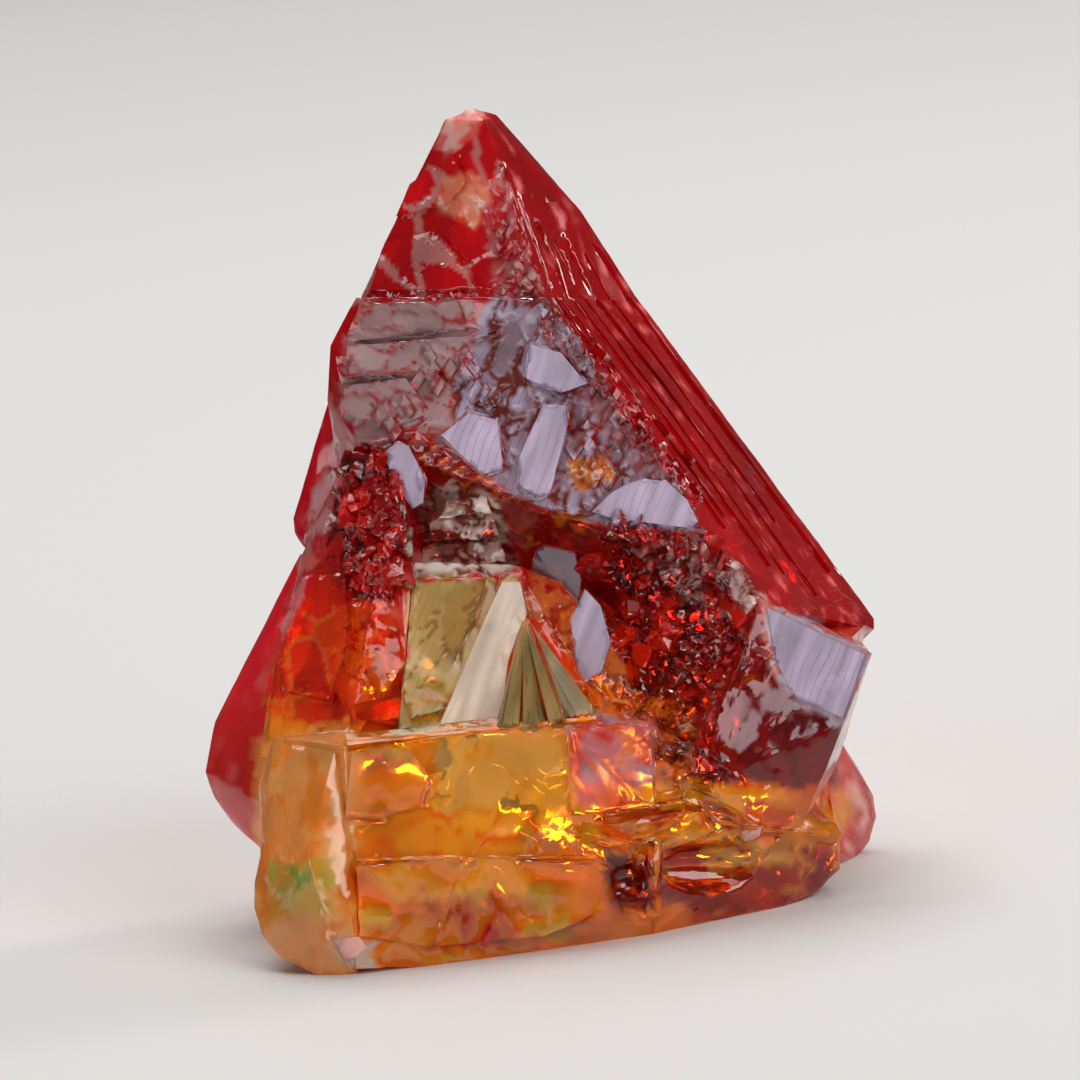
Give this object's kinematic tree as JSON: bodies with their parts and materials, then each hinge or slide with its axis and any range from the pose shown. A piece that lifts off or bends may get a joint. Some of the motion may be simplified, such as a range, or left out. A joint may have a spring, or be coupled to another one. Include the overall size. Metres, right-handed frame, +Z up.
{
  "type": "sphalerite crystal",
  "caption": "Pyramid-shaped lump of clear red to orange sphalerite with cleaved faces, plates and ledges, resting on its broken foot.",
  "frame": {"origin": "centre of the bounding box at its lowest level, where the crystal rests", "axes": "+Z up, the way the crystal rests; -Y towards the front seen in the picture; +X to the right of that front"},
  "size_m": [0.019, 0.015, 0.0221],
  "materials": {
    "sphalerite": "glossy, clear, with frosted breaks"
  },
  "bodies": {
    "root": {"crystal": "sphalerite"}
  },
  "joints": []
}
